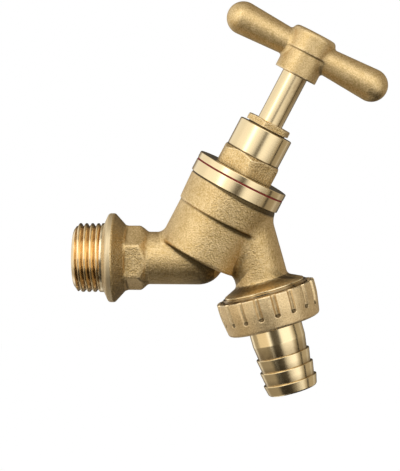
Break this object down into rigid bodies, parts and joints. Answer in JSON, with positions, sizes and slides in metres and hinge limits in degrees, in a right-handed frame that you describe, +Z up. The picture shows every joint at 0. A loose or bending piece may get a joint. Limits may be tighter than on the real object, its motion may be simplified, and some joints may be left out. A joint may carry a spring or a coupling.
{
  "type": "garden tap",
  "caption": "Brass screw-down garden tap with a wall thread, an inclined valve stem with a tee handle, and a fluted union nut that carries a barbed hose tail.",
  "frame": {"origin": "centre of the wall thread's end face, on the inlet axis", "axes": "+X along the inlet away from the wall, +Z up, -Y towards the front"},
  "size_m": [0.0943, 0.0304, 0.119],
  "materials": {
    "cast_brass": "matt, as cast",
    "forged_brass": "matt, as forged",
    "turned_brass": "turned and polished",
    "red_fibre": "pressed fibre",
    "rubber": "matt",
    "packing": "matt",
    "steel": "zinc plated"
  },
  "bodies": {
    "tap": {"body": "cast_brass", "bonnet_washer": "red_fibre", "bonnet": "turned_brass", "packing_washer": "turned_brass", "gland_packing": "packing", "gland_nut": "turned_brass"},
    "valve": {"jumper": "turned_brass", "jumper_washer": "rubber", "jumper_nut": "turned_brass"},
    "stem": {"spindle": "turned_brass", "tee_handle": "cast_brass", "handle_screw": "steel"},
    "tail": {"hose_tail": "turned_brass", "tail_washer": "rubber"},
    "nut": {"union_nut": "forged_brass"}
  },
  "joints": [
    {"name": "valve_lift", "type": "slide", "parent": "tap", "child": "valve", "axis": [0.4633, 0, 0.8862], "range_m": [0, 0.005]},
    {"name": "handle_turn", "type": "hinge", "parent": "valve", "child": "stem", "pos_m": [0.0377, 0, 0], "axis": [0.4633, 0, 0.8862], "range_deg": [0, 900]},
    {"name": "union_drop", "type": "slide", "parent": "tap", "child": "tail", "axis": [0.274, 0, -0.9617], "range_m": [0, 0.00454]},
    {"name": "union_turn", "type": "hinge", "parent": "tail", "child": "nut", "pos_m": [0.055, 0, 0], "axis": [0.274, 0, -0.9617], "range_deg": [0, 900]}
  ],
  "couplings": [
    {"joint": "valve_lift", "follows": "handle_turn", "m_per_rad": 0.0003183},
    {"joint": "union_drop", "follows": "union_turn", "m_per_rad": 0.0002887}
  ]
}
